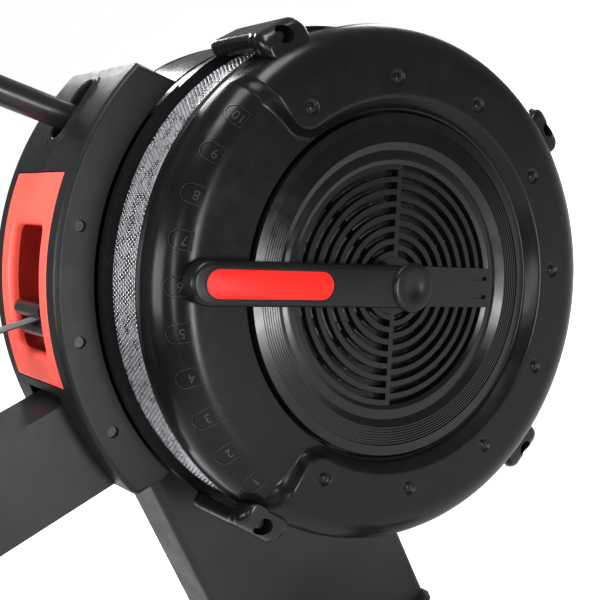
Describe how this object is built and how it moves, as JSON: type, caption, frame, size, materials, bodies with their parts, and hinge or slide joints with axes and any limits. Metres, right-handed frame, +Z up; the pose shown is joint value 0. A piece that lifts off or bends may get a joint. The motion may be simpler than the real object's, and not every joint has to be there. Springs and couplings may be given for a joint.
{
  "type": "rowing machine",
  "caption": "Air rowing machine with a fan in a round caged housing, a stepped damper lever, a strap-pulled handle, footrests, a folding monitor arm and a seat rolling on a rail.",
  "frame": {"origin": "on the floor, under the middle of the overall length, in the machine's middle plane", "axes": "+X from the seat to the fan, +Y to the rower's left, +Z up"},
  "size_m": [2.3322, 0.584, 1.1247],
  "materials": {
    "frame_paint": "fine-textured charcoal powder coat",
    "arm_paint": "satin black paint",
    "cap_rubber": "matt",
    "wheel_rubber": "matt",
    "zinc": "zinc plated",
    "rail_aluminium": "anodised, brushed along its length",
    "stainless": "brushed",
    "cast_aluminium": "cast, machined faces",
    "cover_plastic": "fine-textured satin black",
    "cage_steel": "perforated sheet, bright",
    "disc_plastic": "satin black",
    "red_insert": "satin red",
    "clamp_plastic": "satin black",
    "black_screw": "black oxide",
    "casing_plastic": "fine-textured charcoal",
    "red_panel": "semi-gloss bright red",
    "spring_steel": "blued strip",
    "webbing": "woven nylon webbing",
    "roller_chrome": "black oxide, polished by the strap",
    "grip_foam": "closed-cell foam",
    "footplate_plastic": "ribbed",
    "heel_plastic": "satin dark grey",
    "console_plastic": "fine-textured",
    "console_gloss": "gloss black",
    "screen_glass": "grey-green display window",
    "red_button": "soft-touch red",
    "roller_nylon": "cast nylon",
    "seat_tray": "textured",
    "seat_vinyl": "grained vinyl over foam"
  },
  "bodies": {
    "frame": {"leg_post": "frame_paint", "main_beam": "frame_paint", "front_foot_bar": "frame_paint", "foot_bar_caps": "cap_rubber", "rubber_feet": "cap_rubber", "frame_bolts": "zinc", "seat_rail": "rail_aluminium", "track_strips": "stainless", "rail_end_cap": "cap_rubber", "rail_stops": "cap_rubber", "rear_leg": "frame_paint", "rear_foot_bar": "frame_paint", "axle_bearings": "stainless", "back_cover": "cover_plastic", "cage_band": "cage_steel", "front_cover": "cover_plastic", "damper_shutter": "cover_plastic", "cage_clamps": "clamp_plastic", "housing_screws": "black_screw", "left_cover": "cover_plastic", "casing_right": "casing_plastic", "casing_left": "casing_plastic", "dock_panel": "red_panel", "return_spring": "spring_steel", "handle_rest": "frame_paint", "footrest_frame": "frame_paint", "foot_plates": "footplate_plastic", "foot_straps": "webbing"},
    "fan": {"fan_axle": "stainless", "fan_hub": "cast_aluminium", "fan_blades": "zinc"},
    "damper": {"damper_disc": "disc_plastic", "damper_lever": "disc_plastic", "lever_insert": "red_insert", "hub_cap": "disc_plastic"},
    "spool": {"strap_spool": "cast_aluminium", "one_way_clutch": "stainless", "strap_wrap": "webbing"},
    "upper_guide": {"guide_roller_upper": "roller_chrome"},
    "lower_guide": {"guide_roller_lower": "roller_chrome"},
    "handle": {"handle_bar": "stainless", "handle_grips": "grip_foam", "handle_bracket": "stainless", "pull_strap": "webbing"},
    "heel_left": {"heel_cup_left": "heel_plastic"},
    "heel_right": {"heel_cup_right": "heel_plastic"},
    "arm": {"monitor_arm": "arm_paint"},
    "console": {"console_housing": "console_plastic", "console_face": "console_gloss", "console_screen": "screen_glass"},
    "key_left": {"button_left": "red_button"},
    "key_middle": {"button_middle": "red_button"},
    "key_right": {"button_right": "red_button"},
    "seat": {"seat_carriage": "frame_paint", "seat_base": "seat_tray", "seat_pad": "seat_vinyl"},
    "front_wheels": {"wheelset_front": "roller_nylon"},
    "rear_wheels": {"wheelset_rear": "roller_nylon"},
    "under_wheels": {"lower_rollers": "roller_nylon"},
    "transport": {"transport_wheels": "wheel_rubber"}
  },
  "joints": [
    {"name": "fan_spin", "type": "hinge", "parent": "frame", "child": "fan", "pos_m": [0.90561, -0.12, 0.468], "axis": [0, -1, 0], "continuous": true},
    {"name": "damper_lever", "type": "hinge", "parent": "frame", "child": "damper", "pos_m": [0.90561, -0.2, 0.468], "axis": [0, -1, 0], "range_deg": [-37.8, 47.4]},
    {"name": "handle_pull", "type": "slide", "parent": "frame", "child": "handle", "axis": [-0.9781, 0, 0.2079], "range_m": [0, 1.2], "stiffness_N_per_m": 14, "springref_m": -2, "deforming": ["pull_strap"]},
    {"name": "spool_spin", "type": "hinge", "parent": "frame", "child": "spool", "pos_m": [0.90561, 0, 0.468], "axis": [0, -1, 0], "range_deg": [0, 1820]},
    {"name": "upper_guide_spin", "type": "hinge", "parent": "frame", "child": "upper_guide", "pos_m": [0.64554, 0, 0.57164], "axis": [0, 1, 0], "range_deg": [0, 8620]},
    {"name": "lower_guide_spin", "type": "hinge", "parent": "frame", "child": "lower_guide", "pos_m": [0.64167, 0, 0.55344], "axis": [0, -1, 0], "range_deg": [0, 8620]},
    {"name": "heel_left_slide", "type": "slide", "parent": "frame", "child": "heel_left", "axis": [0.6093, 0, 0.793], "range_m": [0, 0.08]},
    {"name": "heel_right_slide", "type": "slide", "parent": "frame", "child": "heel_right", "axis": [0.6093, 0, 0.793], "range_m": [0, 0.08]},
    {"name": "arm_fold", "type": "hinge", "parent": "frame", "child": "arm", "pos_m": [0.77381, 0, 0.7028], "axis": [0, -1, 0], "range_deg": [-30, 12]},
    {"name": "console_tilt", "type": "hinge", "parent": "arm", "child": "console", "pos_m": [0.49803, 0, 0.97857], "axis": [0, -1, 0], "range_deg": [-25, 25]},
    {"name": "button_left_press", "type": "slide", "parent": "console", "child": "key_left", "axis": [0.9397, 0, -0.342], "range_m": [0, 0.002], "stiffness_N_per_m": 250},
    {"name": "button_middle_press", "type": "slide", "parent": "console", "child": "key_middle", "axis": [0.9397, 0, -0.342], "range_m": [0, 0.002], "stiffness_N_per_m": 250},
    {"name": "button_right_press", "type": "slide", "parent": "console", "child": "key_right", "axis": [0.9397, 0, -0.342], "range_m": [0, 0.002], "stiffness_N_per_m": 250},
    {"name": "seat_slide", "type": "slide", "parent": "frame", "child": "seat", "axis": [0.9994, 0, -0.0349], "range_m": [-0.786, 0.226]},
    {"name": "front_wheels_roll", "type": "hinge", "parent": "seat", "child": "front_wheels", "pos_m": [-0.16782, 0, 0.5318], "axis": [0, 1, 0], "range_deg": [-2530, 750]},
    {"name": "rear_wheels_roll", "type": "hinge", "parent": "seat", "child": "rear_wheels", "pos_m": [-0.31773, 0, 0.53704], "axis": [0, 1, 0], "range_deg": [-2530, 750]},
    {"name": "under_wheels_roll", "type": "hinge", "parent": "seat", "child": "under_wheels", "pos_m": [-0.24416, 0, 0.49494], "axis": [0, 1, 0], "range_deg": [-1480, 5060]},
    {"name": "transport_spin", "type": "hinge", "parent": "frame", "child": "transport", "pos_m": [0.85461, 0, 0.037], "axis": [0, 1, 0], "continuous": true}
  ],
  "couplings": [
    {"joint": "spool_spin", "follows": "handle_pull", "rad_per_m": 26.316},
    {"joint": "upper_guide_spin", "follows": "handle_pull", "rad_per_m": 125},
    {"joint": "lower_guide_spin", "follows": "handle_pull", "rad_per_m": 125},
    {"joint": "front_wheels_roll", "follows": "seat_slide", "rad_per_m": 55.556},
    {"joint": "rear_wheels_roll", "follows": "seat_slide", "rad_per_m": 55.556},
    {"joint": "under_wheels_roll", "follows": "seat_slide", "rad_per_m": -111.11}
  ]
}
